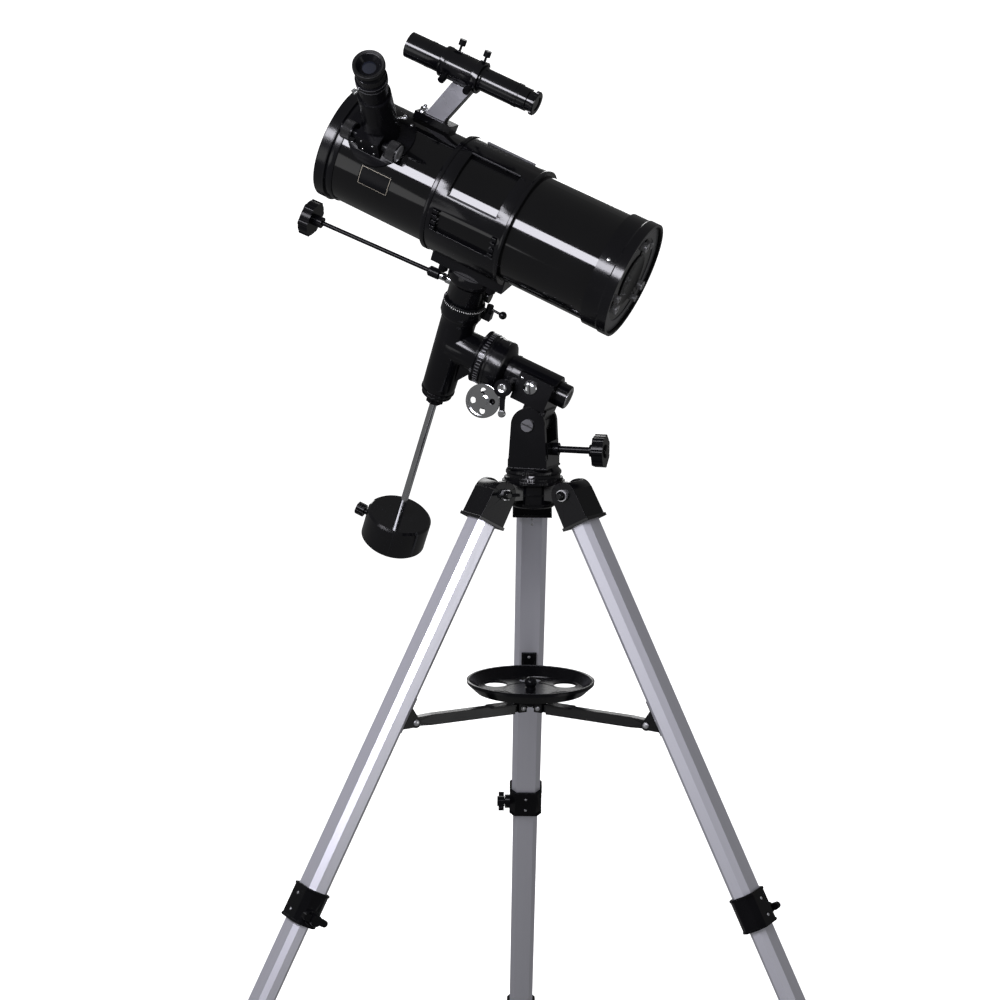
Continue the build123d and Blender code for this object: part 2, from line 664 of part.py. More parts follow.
def focuser_body():
    with BuildPart() as body:
        rod(FOCUSER, 43, 40, 90)
        with Locations(TUBE.offset(FOCUSER_STATION - 60)):
            Cylinder(TUBE_RADIUS + 2.5, 120, align=BASE, mode=Mode.INTERSECT)
        spin(FOCUSER, [(0, 60), (23.5, 60), (23, 84), (22, 112), (20.5, 162), (0, 162)])
        block(FOCUSER, (-16, 0, 66), (16, 32, 98))
        rod(TUBE, TUBE_RADIUS + FIT, 40, 240, Mode.SUBTRACT)
        rod(FOCUSER, DRAW_RADIUS + FIT, 30, 200, Mode.SUBTRACT)
        pinion = place(FOCUSER, (0, PINION_Y, PINION_Z), (1, 0, 0), (0, 1, 0))
        rod(pinion, 3 + FIT, -30, 30, Mode.SUBTRACT)
    save(body, "focuser_body")


def draw_tube():
    with BuildPart() as tube:
        spin(FOCUSER, [(16, 66), (DRAW_RADIUS, 66), (DRAW_RADIUS, 188), (19.6, 188),
                       (19.6, 198), (16, 198)])
    save(tube, "draw_tube")


def focus_knobs():
    pinion = place(FOCUSER, (0, PINION_Y, PINION_Z), (1, 0, 0), (0, 1, 0))
    with BuildPart() as knobs:
        rod(pinion, 3, -34, 34)
        for start in (-39, 17):
            rod(pinion, 12 if start < 0 else 6, start, start + (15 if start < 0 else 8))
        rod(pinion, 12, 24, 39)
        rod(pinion, 6, -25, -17)
    save(knobs, "focus_knobs")


def eyepiece():
    with BuildPart() as ocular:
        spin(FOCUSER, [(13.5, 168), (15.9, 168), (15.9, 198.2), (17.5, 198.2), (17.5, 210),
                       (16, 213), (19.4, 219), (19.4, 225), (18.6, EYECUP_TOP), (15, 224),
                       (10, 218), (0, 217), (0, 205), (13.5, 205)])
    save(ocular, "eyepiece")


def finder_screw_planes():
    """Two rings of three screws round the finder's holder."""
    planes = []
    for station in FINDER_SCREW_STATIONS:
        for angle in (0, 120, 240):
            out_x, out_y = turn(angle)
            planes.append(place(FINDER, (0, 0, station), (out_x, out_y, 0), (0, 0, 1)))
    return planes


def finder_bracket():
    with BuildPart() as bracket:
        spin(FINDER, [(17.2, 72), (20.6, 72), (20.6, 81), (19.1, 82), (19.1, 119), (19.8, 120),
                      (19.8, 126), (17.2, 126)])
        with BuildSketch(place(FINDER, (-FINDER_OFFSET, -6, 0), (0, 1, 0), (0, 0, 1))):
            Polygon((98, 76), (124, 76), (104, 130), (76, 130), align=None)
        extrude(amount=12)
        block(FINDER, (60 - FINDER_OFFSET, -13, 84), (79 - FINDER_OFFSET, 13, 136))
        rod(TUBE, TUBE_RADIUS + FIT, 70, 150, Mode.SUBTRACT)
        rod(FINDER, 17.2, 60, 150, Mode.SUBTRACT)
        for screw in finder_screw_planes():
            rod(screw, 1.6 + FIT, 10, 30, Mode.SUBTRACT)
    save(bracket, "finder_bracket")


def finder_tube():
    with BuildPart() as tube:
        spin(FINDER, [
            (0, 168), (15, 168), (15, 176), (16.5, 176), (16.5, 70), (14.8, 68), (14.8, 18),
            (14.2, 17.4), (14.2, 6), (12.6, 5), (12.6, 0), (15, -1), (15, -5), (14, -6),
            (9, -6), (9, -2), (0, -2),
        ])
    save(tube, "finder_tube")


def finder_screws():
    with BuildPart() as screws:
        for screw in finder_screw_planes():
            rod(screw, 1.6, FINDER_SKIN, 28)
            rod(screw, 4.6, 26.5, 34)
    save(screws, "finder_screws")


def main():
    os.makedirs("parts", exist_ok=True)
    tripod_hub()
    leg_hinge_bolts()
    for side, azimuth in LEG_AZIMUTHS.items():
        leg = leg_plane(azimuth)
        leg_bracket(side, leg)
        leg_tube(f"leg_upper_{side}", leg, 16.5, CLAMP_STATION - 1.5, UPPER_WIDTH, UPPER_DEPTH,
                 UPPER_WALL)
        leg_tube(f"leg_lower_{side}", leg, CLAMP_STATION - LOWER_OVERLAP, LEG_BOTTOM,
                 LOWER_WIDTH, LOWER_DEPTH, LOWER_WALL)
        leg_clamp(side, leg)
        leg_lock_screw(side, leg)
        leg_foot(side, leg)
        spreader_bracket(side, leg)
        spreader_arm(side, azimuth)
    spreader_hub()
    accessory_tray()
    tray_knob()
    azimuth_fork()
    latitude_bolt()
    latitude_screw()
    ra_housing()
    polar_cap()
    ra_slow_wheel()
    ra_lock_lever()
    ra_dial()
    dec_housing()
    dec_lock_lever()
    dec_head()
    dec_slow_handle()
    counterweight_shaft()
    shaft_nut()
    counterweight()
    counterweight_screw()
    tube_cradle()
    main_tube()
    front_ring()
    mirror_cell()
    primary_mirror()
    collimation_screws()
    spider()
    secondary_mirror()
    focuser_body()
    draw_tube()
    focus_knobs()
    eyepiece()
    finder_bracket()
    finder_tube()
    finder_screws()


main()
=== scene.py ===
import json
from math import cos, pi, radians, sin

import bmesh
import bpy
from mathutils import Matrix, Vector


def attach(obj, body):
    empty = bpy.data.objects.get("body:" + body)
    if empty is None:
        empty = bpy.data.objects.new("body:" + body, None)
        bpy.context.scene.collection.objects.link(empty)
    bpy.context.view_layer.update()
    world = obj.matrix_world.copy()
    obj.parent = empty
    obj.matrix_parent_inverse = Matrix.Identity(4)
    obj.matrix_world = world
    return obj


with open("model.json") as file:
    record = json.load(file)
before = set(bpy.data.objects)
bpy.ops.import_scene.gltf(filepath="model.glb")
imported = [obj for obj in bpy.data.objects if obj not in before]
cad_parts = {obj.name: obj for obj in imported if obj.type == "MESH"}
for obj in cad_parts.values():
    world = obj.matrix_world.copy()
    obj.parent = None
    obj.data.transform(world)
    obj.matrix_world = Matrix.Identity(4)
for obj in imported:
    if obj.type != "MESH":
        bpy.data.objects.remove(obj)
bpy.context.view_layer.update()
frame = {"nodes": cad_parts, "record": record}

MM = 0.001

# The frame that the object is built on, in millimetres, as the CAD has it
TRIPOD_Y = -135.9
LEG_SPLAY = 27.85
LEG_LENGTH = 1066.0
HINGE_RADIUS = 57.1
HUB_HEIGHT = LEG_LENGTH * cos(radians(LEG_SPLAY))
LEG_AZIMUTHS = {"rear": 90, "left": 210, "right": 330}
MOUNT_TURN = 16.5
LATITUDE = 23.1
ALTITUDE_HEIGHT = 87.1
POLAR_OFFSET = 49.2
DEC_STATION = 143.3
HOUR_ANGLE = -20.6
DEC_TURN = -1.44
TUBE_STATION = 197.4
TUBE_RADIUS = 71.0
FOCUSER_STATION = 152.5
FOCUSER_ANGLE = -37.3
FINDER_ANGLE = 12.0
FINDER_OFFSET = 148.0
SPREADER_DROP = 289.0
SPREADER_INNER = 15.0
SPREADER_ARM = 160.0

# How the finishes are drawn, as noise scales, and how round pieces are shaded, in degrees
BROAD_GRAIN = 14.0
BRUSHED_BROAD_GRAIN = 60.0
BRUSHED_STRETCH = 0.02
FLECK_GRAIN = 900.0
FLECK_EDGE = 0.05
SMOOTH_ANGLE = 40
CAD_SHARP_ANGLE = 38


def turn(degrees):
    """Cosine and sine of an angle."""
    return cos(radians(degrees)), sin(radians(degrees))


def placed(parent, origin, z_dir=(0, 0, 1), x_dir=(1, 0, 0)):
    """A frame whose origin (mm) and directions are given in another frame's own axes."""
    z_axis = Vector(z_dir).normalized()
    x_axis = Vector(x_dir)
    x_axis = (x_axis - z_axis * x_axis.dot(z_axis)).normalized()
    local = Matrix((x_axis, z_axis.cross(x_axis), z_axis)).transposed().to_4x4()
    local.translation = Vector(origin) * MM
    return parent @ local


NORTH_X, NORTH_Y = turn(MOUNT_TURN)
POLE_X, POLE_Z = turn(LATITUDE)
HUB = Matrix.Translation(Vector((0, TRIPOD_Y, HUB_HEIGHT)) * MM)
AZIMUTH = placed(HUB, (0, 0, 0), x_dir=(-NORTH_X, NORTH_Y, 0))
POLAR = placed(AZIMUTH, (-POLAR_OFFSET * POLE_Z, 0, ALTITUDE_HEIGHT + POLAR_OFFSET * POLE_X),
               (POLE_X, 0, POLE_Z), (-POLE_Z, 0, POLE_X))
DEC = placed(POLAR, (0, 0, DEC_STATION), (*turn(HOUR_ANGLE), 0), (0, 0, 1))
TUBE = placed(DEC, (0, 0, TUBE_STATION), (*turn(DEC_TURN), 0), (0, 0, 1))
FOCUSER = placed(TUBE, (0, 0, FOCUSER_STATION), (*turn(FOCUSER_ANGLE), 0), (0, 0, 1))
FINDER_X, FINDER_Y = turn(FINDER_ANGLE)
FINDER = placed(TUBE, (FINDER_OFFSET * FINDER_X, FINDER_OFFSET * FINDER_Y, 0),
                x_dir=(FINDER_X, FINDER_Y, 0))


def hinge_frame(azimuth):
    """x outwards, y up, z along the leg's hinge bolt."""
    out_x, out_y = turn(azimuth)
    pivot = (HINGE_RADIUS * out_x, HINGE_RADIUS * out_y, 0)
    return placed(HUB, pivot, (out_y, -out_x, 0), (out_x, out_y, 0))


def leg_frame(azimuth):
    """x outwards from the leg, y along the hinge bolt, z down the leg."""
    splay_x, splay_z = turn(LEG_SPLAY)
    return placed(hinge_frame(azimuth), (0, 0, 0), (splay_z, -splay_x, 0), (splay_x, splay_z, 0))


# Finishes

def noise(tree, place, scale, detail=3.0):
    """A noise texture, and its value output."""
    node = tree.nodes.new("ShaderNodeTexNoise")
    node.inputs["Scale"].default_value = scale
    node.inputs["Detail"].default_value = detail
    tree.links.new(place, node.inputs["Vector"])
    return node.outputs["Fac"]


def spread_to(tree, value, low, high, start=0.3, end=0.7):
    """Maps a noise value onto a range of numbers."""
    node = tree.nodes.new("ShaderNodeMapRange")
    node.inputs["From Min"].default_value = start
    node.inputs["From Max"].default_value = end
    node.inputs["To Min"].default_value = low
    node.inputs["To Max"].default_value = high
    tree.links.new(value, node.inputs["Value"])
    return node.outputs["Result"]


def mixed(tree, share, first, second):
    """A colour between two colours, each a socket or a plain colour."""
    node = tree.nodes.new("ShaderNodeMix")
    node.data_type = "RGBA"
    tree.links.new(share, node.inputs[0])
    for slot, colour in ((node.inputs[6], first), (node.inputs[7], second)):
        if isinstance(colour, bpy.types.NodeSocket):
            tree.links.new(colour, slot)
        else:
            slot.default_value = (*colour, 1.0)
    return node.outputs[2]


def finish(name, colour, metallic=0.0, roughness=0.3, uneven=0.06, grain=500.0, bump=0.1,
           depth=0.15, mottle=0.15, fleck=None, fleck_share=0.7, coat=0.0, coat_roughness=0.04,
           specular=0.5, along=None):
    """A finish with mottled colour, uneven gloss, fine grain and, with fleck, small dusty spots.

    depth is the height of the grain in mm. along is a frame for a brushed finish, whose grain is
    drawn out along the frame's z axis.
    """
    material = bpy.data.materials.new(name)
    material.use_nodes = True
    tree = material.node_tree
    shader = tree.nodes["Principled BSDF"]
    shader.inputs["Metallic"].default_value = metallic
    shader.inputs["Coat Weight"].default_value = coat
    shader.inputs["Coat Roughness"].default_value = coat_roughness
    shader.inputs["Specular IOR Level"].default_value = specular
    place = tree.nodes.new("ShaderNodeTexCoord").outputs["Object"]
    if along is not None:
        turned = tree.nodes.new("ShaderNodeMapping")
        turned.inputs["Rotation"].default_value = along.to_3x3().inverted().to_euler()
        tree.links.new(place, turned.inputs["Vector"])
        drawn = tree.nodes.new("ShaderNodeMapping")
        drawn.inputs["Scale"].default_value = (1.0, 1.0, BRUSHED_STRETCH)
        tree.links.new(turned.outputs["Vector"], drawn.inputs["Vector"])
        place = drawn.outputs["Vector"]
    fine = noise(tree, place, grain)
    broad = noise(tree, place, BROAD_GRAIN if along is None else BRUSHED_BROAD_GRAIN)
    dark = tuple(c * (1 - mottle) for c in colour)
    light = tuple(min(1.0, c * (1 + mottle)) for c in colour)
    shade = mixed(tree, spread_to(tree, broad, 0, 1), dark, light)
    if fleck:
        spots = spread_to(tree, noise(tree, place, FLECK_GRAIN, 1.0), 0, 1,
                          fleck_share, fleck_share + FLECK_EDGE)
        shade = mixed(tree, spots, shade, fleck)
    tree.links.new(shade, shader.inputs["Base Color"])
    gloss = spread_to(tree, fine if along is not None else broad,
                      max(0.01, roughness - uneven), roughness + uneven)
    tree.links.new(gloss, shader.inputs["Roughness"])
    relief = tree.nodes.new("ShaderNodeBump")
    relief.inputs["Strength"].default_value = bump
    relief.inputs["Distance"].default_value = depth * MM
    tree.links.new(fine, relief.inputs["Height"])
    tree.links.new(relief.outputs["Normal"], shader.inputs["Normal"])
    return material


FINISHES = {
    "gloss_tube": finish("gloss_tube", (0.0025, 0.0025, 0.003), roughness=0.07, uneven=0.03,
                         grain=160.0, bump=0.03, fleck=(0.012, 0.012, 0.013), fleck_share=0.78,
                         coat=0.3),
    "black_casting": finish("black_casting", (0.003, 0.003, 0.004), roughness=0.15, grain=1100.0,
                            bump=0.2, fleck=(0.014, 0.014, 0.016), fleck_share=0.76,
                            specular=0.45),
    "black_plastic": finish("black_plastic", (0.004, 0.004, 0.005), roughness=0.21, grain=1400.0,
                            bump=0.15, fleck=(0.014, 0.014, 0.016), fleck_share=0.77,
                            specular=0.16),
    "black_painted_steel": finish("black_painted_steel", (0.004, 0.004, 0.005), roughness=0.18,
                                  grain=500.0, bump=0.12, fleck=(0.02, 0.02, 0.02),
                                  fleck_share=0.76, specular=0.25),
    "black_rubber": finish("black_rubber", (0.008, 0.008, 0.008), roughness=0.6, uneven=0.1,
                           grain=1800.0, bump=0.5, fleck=(0.02, 0.02, 0.02), specular=0.3),
    "zinc_steel": finish("zinc_steel", (0.55, 0.55, 0.57), metallic=0.7, roughness=0.26,
                         grain=1500.0, bump=0.15, mottle=0.12, fleck=(0.35, 0.34, 0.33)),
    "chrome": finish("chrome", (0.80, 0.81, 0.83), metallic=1.0, roughness=0.11, uneven=0.03,
                     grain=700.0, bump=0.03, mottle=0.05, fleck=(0.5, 0.5, 0.5),
                     fleck_share=0.78),
    "weight_iron": finish("weight_iron", (0.003, 0.003, 0.004), roughness=0.11, grain=450.0,
                          bump=0.2, fleck=(0.02, 0.02, 0.022), coat=0.2),
    "finder_black": finish("finder_black", (0.003, 0.003, 0.004), roughness=0.15, grain=900.0,
                           bump=0.1, fleck=(0.018, 0.018, 0.018), fleck_share=0.77, coat=0.2),
    "finder_grey": finish("finder_grey", (0.36, 0.36, 0.39), metallic=0.4, roughness=0.3,
                          grain=900.0, bump=0.2, mottle=0.08),
    "mirror_glass": finish("mirror_glass", (0.88, 0.89, 0.9), metallic=1.0, roughness=0.03,
                           uneven=0.01, grain=60.0, bump=0.01, mottle=0.02),
    "dial_white": finish("dial_white", (0.75, 0.75, 0.73), roughness=0.5, grain=1200.0,
                         bump=0.2, mottle=0.06),
    "label_line": finish("label_line", (0.36, 0.33, 0.27), metallic=0.5, roughness=0.4,
                         grain=1200.0, bump=0.1),
    "lens_glass": finish("lens_glass", (0.012, 0.014, 0.022), roughness=0.02, uneven=0.01,
                         grain=40.0, bump=0.01, coat=1.0, coat_roughness=0.01, specular=0.9),
    "slot_shadow": finish("slot_shadow", (0.004, 0.004, 0.004), roughness=0.6, grain=900.0,
                          bump=0.2),
    "textured_gloss": finish("textured_gloss", (0.003, 0.003, 0.004), roughness=0.16,
                             grain=650.0, bump=0.4, depth=0.12, fleck=(0.016, 0.016, 0.017),
                             fleck_share=0.76),
    "dark_steel": finish("dark_steel", (0.16, 0.16, 0.17), metallic=0.6, roughness=0.3,
                         grain=1200.0, bump=0.15, mottle=0.1),
}
LEG_FINISHES = {
    side: finish(f"satin_aluminium_{side}", (0.86, 0.86, 0.94), metallic=0.62, roughness=0.38,
                 uneven=0.03, grain=1500.0, bump=0.1, depth=0.05, mottle=0.02,
                 along=leg_frame(azimuth))
    for side, azimuth in LEG_AZIMUTHS.items()
}
OTHER_FINISH = {
    "tube_cradle": "textured_gloss",
    "front_ring": "textured_gloss",
    "mirror_cell": "textured_gloss",
    "finder_bracket": "finder_black",
    "latitude_bolt": "dark_steel",
}
SOFT_EDGES = {
    "tripod_hub": 0.6, "azimuth_fork": 1.2, "ra_housing": 1.2, "dec_housing": 0.6,
    "dec_head": 0.5, "tube_cradle": 0.5, "focuser_body": 0.5, "spreader_hub": 0.6,
    "finder_bracket": 0.5, "latitude_bolt": 0.3,
}
for side in LEG_AZIMUTHS:
    SOFT_EDGES[f"leg_bracket_{side}"] = 1.5
    SOFT_EDGES[f"leg_clamp_{side}"] = 1.0
    SOFT_EDGES[f"leg_foot_{side}"] = 1.5
    SOFT_EDGES[f"spreader_arm_{side}"] = 0.6


def round_edges(thing, width, angle):
    """Rounds the edges sharper than an angle by a width in mm."""
    rounded = thing.modifiers.new("rounded", "BEVEL")
    rounded.width = width * MM
    rounded.segments = 2
    rounded.limit_method = "ANGLE"
    rounded.angle_limit = radians(angle)
    rounded.harden_normals = True


def soften(thing, width):
    """Joins a CAD node's doubled vertices, then rounds its sharp edges by a width in mm."""
    joined = thing.modifiers.new("joined", "WELD")
    joined.merge_threshold = 0.01 * MM
    round_edges(thing, width, CAD_SHARP_ANGLE)


def finish_of(node, slot):
    """The finish of a CAD node: its leg's own, one chosen in place of its slot's, or its slot's."""
    for side, brushed in LEG_FINISHES.items():
        if node in (f"leg_upper_{side}", f"leg_lower_{side}"):
            return brushed
    return FINISHES[OTHER_FINISH.get(node, slot)]


for part in frame["record"]["subparts"]:
    node = part["node"]
    thing = frame["nodes"][node]
    for held in thing.material_slots:
        held.material = finish_of(node, part["material_slot"])
    if node in SOFT_EDGES:
        soften(thing, SOFT_EDGES[node])


# Mesh building, all sizes in mm in a frame's own axes

def lathe(mesh, place, outline, steps=48):
    """Turns a closed outline of (radius, height) points about the frame's z axis."""
    rings = []
    for radius, height in outline:
        count = 1 if radius == 0 else steps
        rings.append([
            mesh.verts.new(place @ (Vector((radius * cos(2 * pi * i / steps),
                                            radius * sin(2 * pi * i / steps), height)) * MM))
            for i in range(count)
        ])
    for lower, upper in zip(rings, rings[1:] + rings[:1]):
        if len(lower) == len(upper) == 1:
            continue
        for i in range(steps):
            after = (i + 1) % steps
            corners = [lower[i % len(lower)], lower[after % len(lower)],
                       upper[after % len(upper)], upper[i % len(upper)]]
            mesh.faces.new(list(dict.fromkeys(corners)))


def prism(mesh, place, outline, low, high):
    """A flat outline of (x, y) points drawn out along the frame's z axis."""
    levels = [[mesh.verts.new(place @ (Vector((x, y, z)) * MM)) for x, y in outline]
              for z in (low, high)]
    mesh.faces.new(levels[0][::-1])
    mesh.faces.new(levels[1])
    for i in range(len(outline)):
        after = (i + 1) % len(outline)
        mesh.faces.new([levels[0][i], levels[0][after], levels[1][after], levels[1][i]])


def hoop(mesh, place, outer, inner, low, high):
    """A band between two outlines with the same number of points."""
    loops = [[mesh.verts.new(place @ (Vector((x, y, z)) * MM)) for x, y in outline]
             for outline, z in ((outer, low), (outer, high), (inner, high), (inner, low))]
    for i in range(len(outer)):
        after = (i + 1) % len(outer)
        for first, second in zip(loops, loops[1:] + loops[:1]):
            mesh.faces.new([first[i], first[after], second[after], second[i]])


def bar(mesh, place, low, high):
    """A block between two opposite corners."""
    outline = [(low[0], low[1]), (high[0], low[1]), (high[0], high[1]), (low[0], high[1])]
    prism(mesh, place, outline, low[2], high[2])


def circle(radius, steps=24, start=0.0, middle=(0, 0)):
    """Points round a circle."""
    return [(middle[0] + radius * cos(start + 2 * pi * i / steps),
             middle[1] + radius * sin(start + 2 * pi * i / steps)) for i in range(steps)]


def knurl(radius, depth, teeth):
    """Points round a toothed circle."""
    points = []
    for i in range(teeth):
        for share, inset in ((0.0, depth), (0.25, 0), (0.6, 0), (0.85, depth)):
            angle = 2 * pi * (i + share) / teeth
            points.append(((radius - inset) * cos(angle), (radius - inset) * sin(angle)))
    return points


def pan_head(mesh, place, radius, height):
    """A low domed screw head sitting on the frame's origin."""
    lathe(mesh, place, [(0, -0.4), (radius, -0.4), (radius, height * 0.35),
                        (radius * 0.86, height * 0.75), (radius * 0.5, height), (0, height)], 24)


def around(place, radius, height, degrees):
    """A frame on a cylinder about another frame's z axis: z outwards, x along that axis."""
    out_x, out_y = turn(degrees)
    return placed(place, (radius * out_x, radius * out_y, height), (out_x, out_y, 0), (0, 0, 1))


def in_scene(mesh, name):
    """Makes an object of a built mesh and puts it in the scene."""
    bmesh.ops.recalc_face_normals(mesh, faces=mesh.faces)
    data = bpy.data.meshes.new(name)
    mesh.to_mesh(data)
    mesh.free()
    thing = bpy.data.objects.new(name, data)
    bpy.context.scene.collection.objects.link(thing)
    return thing


def piece(mesh, name, material, body, edge=0.0):
    """Makes an object of the mesh, smooth where it is round, riding on a body.

    edge is the width in mm that its sharp edges are rounded by.
    """
    thing = in_scene(mesh, name)
    data = thing.data
    data.polygons.foreach_set("use_smooth", [True] * len(data.polygons))
    data.set_sharp_from_angle(angle=radians(SMOOTH_ANGLE))
    data.materials.append(FINISHES[material])
    if edge:
        round_edges(thing, edge, SMOOTH_ANGLE)
    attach(thing, body)
    return thing


def slotted_head(name, place, radius, height, body):
    """A chrome screw head with a straight slot, as two pieces: the head, and a dark bar on it that
    is painted shade for the slot.
    """
    head = bmesh.new()
    pan_head(head, place, radius, height)
    piece(head, name, "chrome", body)
    # The slot is a dark bar standing up from the dome: painted shade where the slot would be.
    painted_slot_shade = bmesh.new()
    bar(painted_slot_shade, place, (-radius * 0.82, -radius * 0.11, height * 0.4),
        (radius * 0.82, radius * 0.11, height * 1.04))
    piece(painted_slot_shade, f"{name}_slot", "slot_shadow", body)


def ticks(name, place, radius, low, high, count, body, material, width):
    """Equal marks round a dial."""
    mesh = bmesh.new()
    for i in range(count):
        bar(mesh, around(place, radius, low, 360 * i / count),
            (0, -width / 2, -0.3), (high - low, width / 2, 0.12))
    piece(mesh, name, material, body)


# Optical tube

def tube_patch(mesh, z0, z1, a0, a1, height, steps=14):
    """A thin curved sheet on the tube, between two stations (mm) and two angles (degrees)."""
    skin = TUBE_RADIUS + height
    grid = []
    for i in range(steps + 1):
        out_x, out_y = turn(a0 + (a1 - a0) * i / steps)
        section = ((TUBE_RADIUS, z0), (skin, z0), (skin, z1), (TUBE_RADIUS, z1))
        grid.append([mesh.verts.new(TUBE @ (Vector((r * out_x, r * out_y, z)) * MM))
                     for r, z in section])
    for before, after in zip(grid, grid[1:]):
        for j in range(4):
            k = (j + 1) % 4
            mesh.faces.new([before[j], after[j], after[k], before[k]])
    mesh.faces.new(grid[0])
    mesh.faces.new(grid[-1][::-1])


def label_plate():
    """The plate on the tube with its printed frame, and no text."""
    low, high, left, right = 113.0, 157.0, -96.0, -74.5
    line, inset = 0.7, 1.4
    plate = bmesh.new()
    tube_patch(plate, low, high, left, right, 0.15)
    frame_lines = bmesh.new()
    span = line / TUBE_RADIUS * 180 / pi
    turn_in = inset / TUBE_RADIUS * 180 / pi
    for z0, z1, a0, a1 in (
        (low + inset, low + inset + line, left + turn_in, right - turn_in),
        (high - inset - line, high - inset, left + turn_in, right - turn_in),
        (low + inset, high - inset, left + turn_in, left + turn_in + span),
        (low + inset, high - inset, right - turn_in - span, right - turn_in),
    ):
        tube_patch(frame_lines, z0, z1, a0, a1, 0.22)
    piece(plate, "tube_label_plate", "black_plastic", "optical_tube")
    piece(frame_lines, "tube_label_frame", "label_line", "optical_tube")


def front_ring_details():
    """The stepped bands round the front ring."""
    bands = bmesh.new()
    for low, high, radius in ((191.2, 203, 72.4), (201.6, 203.4, 75.3), (214.2, 216.2, 74.95)):
        lathe(bands, TUBE, [(TUBE_RADIUS, low), (radius - 0.4, low), (radius, low + 0.5),
                            (radius, high - 0.5), (radius - 0.4, high), (TUBE_RADIUS, high)], 128)
    piece(bands, "front_ring_bands", "textured_gloss", "optical_tube")


def mirror_cell_details():
    """The cell's side screws, the ring and boss on its back, and dark hexagons of painted shade in
    its screws' sockets.
    """
    heads = bmesh.new()
    for angle in (-54, 66, 186):
        pan_head(heads, around(TUBE, 74.2, -179, angle), 2.6, 1.6)
    piece(heads, "mirror_cell_side_screws", "chrome", "optical_tube")

    back = bmesh.new()
    lathe(back, TUBE, [(56, -198), (56, -198.7), (58, -199.3), (69, -199.3), (70.5, -198.7),
                       (70.5, -198)], 96)
    piece(back, "mirror_cell_back_ring", "dark_steel", "optical_tube")
    inner = bmesh.new()
    lathe(inner, TUBE, [(0, -198), (34, -198), (34, -199.2), (32.5, -199.8), (31, -199.2),
                        (0, -199.2)], 96)
    for angle in (11, 131, 251):
        bar(inner, around(TUBE, 34, -198, angle), (-1.0, -3, 0), (0, 3, 21))
    piece(inner, "mirror_cell_back_boss", "black_plastic", "optical_tube", 0.3)
    # Dark flat hexagons at the collimation screws' ends: painted shade in their sockets.
    socket_shade = bmesh.new()
    for start in (0, 22):
        for i in range(3):
            out_x, out_y = turn(start + 120 * i)
            mouth = placed(TUBE, (48 * out_x, 48 * out_y, -205.1), (0, 0, -1))
            prism(socket_shade, mouth, circle(2.2, 6), -0.2, 0.05)
    piece(socket_shade, "collimation_socket_shade", "slot_shadow", "optical_tube")


def focuser_details():
    """The focuser's screws, and its knobs' grips and faces."""
    screws = bmesh.new()
    saddle = 68.4
    for x in (-27, 27):
        for y in (-27, 27):
            pan_head(screws, placed(FOCUSER, (x, y, saddle), (0, y, saddle)), 2.1, 1.4)
    for z in (73, 91):
        for x in (-8, 8):
            pan_head(screws, placed(FOCUSER, (x, 32, z), (0, 1, 0), (1, 0, 0)), 1.5, 1.0)
    piece(screws, "focuser_screws", "chrome", "optical_tube")

    grips = bmesh.new()
    faces = bmesh.new()
    for side in (-1, 1):
        end = placed(FOCUSER, (0, 22, 84), (side, 0, 0), (0, 1, 0))
        prism(grips, end, knurl(12.5, 0.5, 44), 26, 37.5)
        lathe(faces, end, [(0, 38.8), (10.6, 38.8), (10.8, 39.3), (10.2, 39.8), (4, 39.9),
                           (3, 39.5), (0, 39.5)], 48)
    piece(grips, "focus_knob_grips", "black_rubber", "focus_knobs")
    piece(faces, "focus_knob_faces", "zinc_steel", "focus_knobs")

    thumb = bmesh.new()
    lathe(thumb, placed(FOCUSER, (-17, -12, 100), (-1, -0.5, 0.1), (0, 0, 1)),
          [(0, 0), (1.4, 0), (1.4, 9), (3.4, 9.4), (3.6, 12.6), (2.6, 13.4), (0, 13.4)], 24)
    piece(thumb, "focus_lock_screw", "chrome", "optical_tube")


def eyepiece_details():
    """The eyepiece's clamp screws, the draw tube's rings, the eyecup's rim and the eye lens."""
    clamp = bmesh.new()
    for out in ((0.9, -0.44, 0), (0.35, 0.94, 0)):
        start = [c * 18.5 for c in out]
        place = placed(FOCUSER, (start[0], start[1], 193), out, (0, 0, 1))
        lathe(clamp, place, [(0, 0), (1.2, 0), (1.2, 5), (0, 5)], 16)
        prism(clamp, place, knurl(3.4, 0.4, 16), 5, 9.5)
    piece(clamp, "eyepiece_clamp_screws", "chrome", "draw_tube")

    rings = bmesh.new()
    for low, high in ((189.2, 190), (196, 196.8)):
        lathe(rings, FOCUSER, [(18.2, low), (19.8, low), (19.8, high), (18.2, high)], 64)
    piece(rings, "draw_tube_rings", "dark_steel", "draw_tube")
    cup = bmesh.new()
    lathe(cup, FOCUSER, [(15.2, 223.8), (17.4, 219), (19.7, 219.4), (19.9, 222), (19.6, 225.2),
                         (18.4, 225.9), (16.2, 225.2)], 64)
    prism(cup, FOCUSER, knurl(18.1, 0.45, 40), 200, 208.5)
    piece(cup, "eyecup_rim", "black_rubber", "draw_tube")
    lens = bmesh.new()
    lathe(lens, FOCUSER, [(0, 216), (9.4, 216), (9.4, 217.4), (6, 218.9), (3, 219.4), (0, 219.6)],
          48)
    piece(lens, "eyepiece_lens", "lens_glass", "draw_tube")


